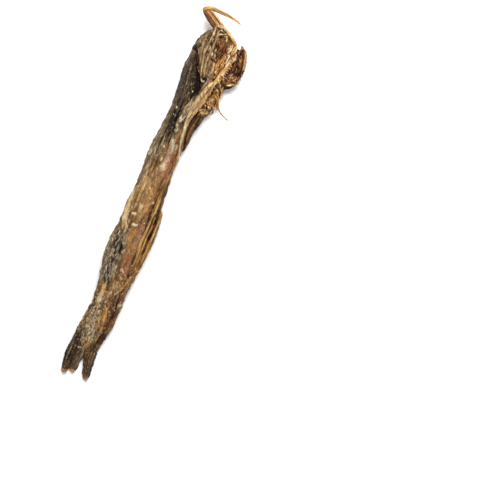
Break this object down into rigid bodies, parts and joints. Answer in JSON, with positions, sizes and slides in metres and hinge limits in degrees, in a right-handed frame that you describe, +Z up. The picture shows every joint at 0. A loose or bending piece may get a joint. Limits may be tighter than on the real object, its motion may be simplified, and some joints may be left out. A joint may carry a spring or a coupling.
{
  "type": "dried bombay duck",
  "caption": "Whole dried bombay duck lying on its side: shrivelled folded skin, gaping head with a hooked lower jaw, torn gills and a withered tail fin.",
  "frame": {"origin": "centre of the fish's box on the surface that it lies on", "axes": "+Y along the fish to its head, +X to the belly side, +Z up from the surface that it lies on"},
  "size_m": [0.0445, 0.2572, 0.0138],
  "materials": {
    "dried_skin": "dried, wrinkled skin, olive grey on the back to red brown and amber on the flank, low uneven gloss",
    "dried_bone": "thin translucent jaw bone and teeth, orange tan, satin",
    "dried_gill": "dried gill and inner mouth, dark red brown with paler torn edges, satin",
    "salt_fleck": "pale dried flecks of flesh and salt, matt"
  },
  "bodies": {
    "root": {"dried_fish": "dried_skin"}
  },
  "joints": []
}
